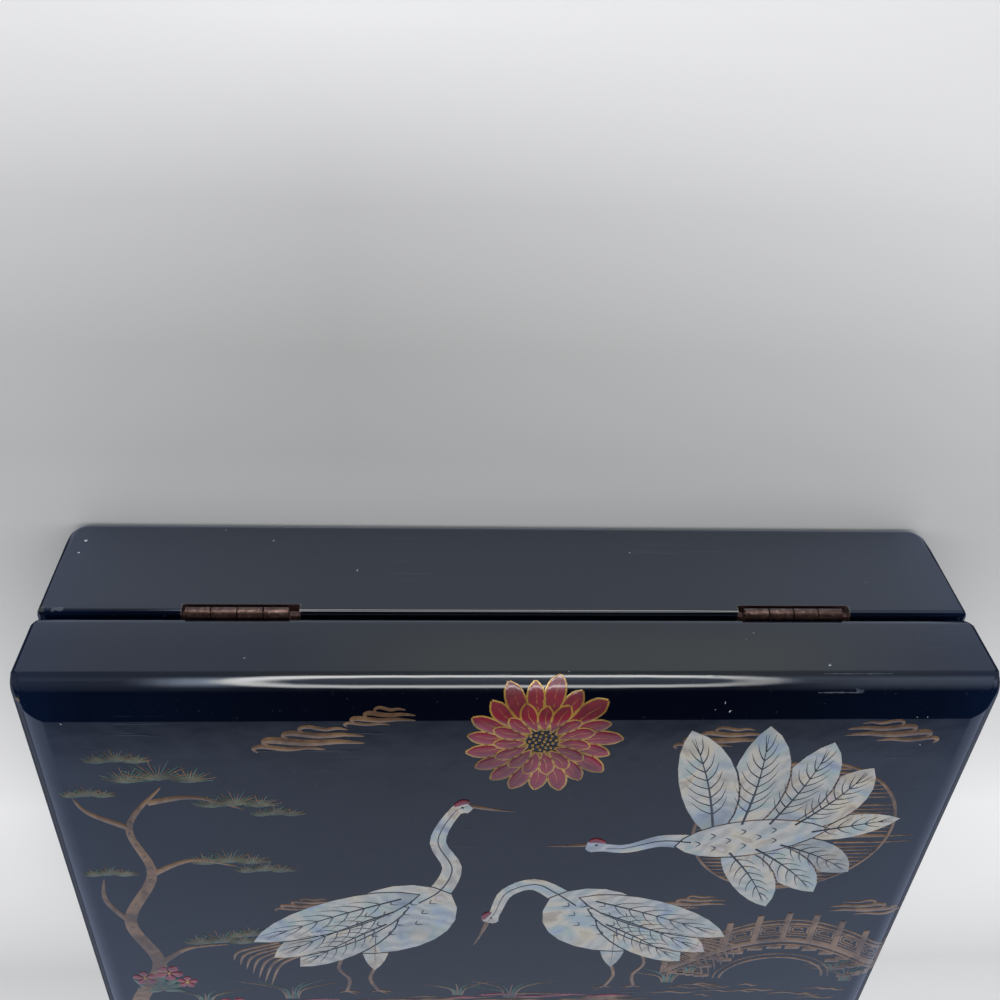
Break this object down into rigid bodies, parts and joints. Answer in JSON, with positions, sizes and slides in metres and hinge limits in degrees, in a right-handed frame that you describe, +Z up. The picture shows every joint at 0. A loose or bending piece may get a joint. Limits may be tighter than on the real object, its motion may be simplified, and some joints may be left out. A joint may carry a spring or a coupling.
{
  "type": "lacquer jewelry box",
  "caption": "Rectangular black lacquer jewelry box with a hinged lid, velvet lined compartments and ring rolls, a mirror in the lid and shell inlay on top.",
  "frame": {"origin": "middle of the box's foot, on the surface that it stands on", "axes": "+X along the hinges, +Y towards the hinged back, +Z up through the lid"},
  "size_m": [0.24, 0.1662, 0.0651],
  "materials": {
    "lacquer": "wood under deep blue-black gloss lacquer",
    "velvet": "dark red cotton velvet over board or padding",
    "hinge_bronze": "brass gone dark brown, worn bright on its edges",
    "screw_steel": "dull plated steel",
    "mirror_glass": "silvered glass",
    "pearl_shell": "mother-of-pearl, rubbed smooth, faint rainbow sheen",
    "gold_paint": "gold powder in lacquer, rubbed a little",
    "red_paint": "vermilion lacquer paint",
    "green_paint": "green lacquer paint",
    "black_ink": "black lacquer rubbed into engraved lines"
  },
  "bodies": {
    "base": {"base_shell": "lacquer", "base_floor_pad": "velvet", "front_lining": "velvet", "back_lining": "velvet", "left_lining": "velvet", "right_lining": "velvet", "long_divider": "velvet", "rear_divider_1": "velvet", "rear_divider_2": "velvet", "front_divider": "velvet", "ring_roll_1": "velvet", "ring_roll_2": "velvet", "ring_roll_3": "velvet", "ring_roll_4": "velvet", "ring_roll_5": "velvet", "left_hinge_base_leaf": "hinge_bronze", "left_hinge_base_screw_1": "screw_steel", "left_hinge_base_screw_2": "screw_steel", "left_hinge_pin": "hinge_bronze", "right_hinge_base_leaf": "hinge_bronze", "right_hinge_base_screw_1": "screw_steel", "right_hinge_base_screw_2": "screw_steel", "right_hinge_pin": "hinge_bronze"},
    "lid": {"lid_shell": "lacquer", "lid_backing_board": "velvet", "mirror": "mirror_glass", "mirror_bead_front": "lacquer", "mirror_bead_back": "lacquer", "mirror_bead_left": "lacquer", "mirror_bead_right": "lacquer", "left_hinge_lid_leaf": "hinge_bronze", "left_hinge_lid_screw_1": "screw_steel", "left_hinge_lid_screw_2": "screw_steel", "right_hinge_lid_leaf": "hinge_bronze", "right_hinge_lid_screw_1": "screw_steel", "right_hinge_lid_screw_2": "screw_steel", "tall_crane_wing_feather_1": "pearl_shell", "tall_crane_wing_feather_2": "pearl_shell", "tall_crane_wing_feather_3": "pearl_shell", "tall_crane_breast": "pearl_shell", "tall_crane_neck": "pearl_shell", "tall_crane_thigh": "pearl_shell", "stooping_crane_wing_feather_1": "pearl_shell", "stooping_crane_wing_feather_2": "pearl_shell", "stooping_crane_wing_feather_3": "pearl_shell", "stooping_crane_breast": "pearl_shell", "stooping_crane_neck": "pearl_shell", "stooping_crane_thigh": "pearl_shell", "flying_crane_breast": "pearl_shell", "flying_crane_neck": "pearl_shell", "flying_crane_near_wing_feather_1": "pearl_shell", "flying_crane_near_wing_feather_2": "pearl_shell", "flying_crane_near_wing_feather_3": "pearl_shell", "flying_crane_near_wing_feather_4": "pearl_shell", "flying_crane_far_wing_feather_1": "pearl_shell", "flying_crane_far_wing_feather_2": "pearl_shell", "flying_crane_far_wing_feather_3": "pearl_shell", "flying_crane_tail": "pearl_shell"}
  },
  "joints": [
    {"name": "lid_hinge", "type": "hinge", "parent": "base", "child": "lid", "pos_m": [0, 0.08215, 0.03635], "axis": [-1, 0, 0], "range_deg": [0, 105]}
  ]
}
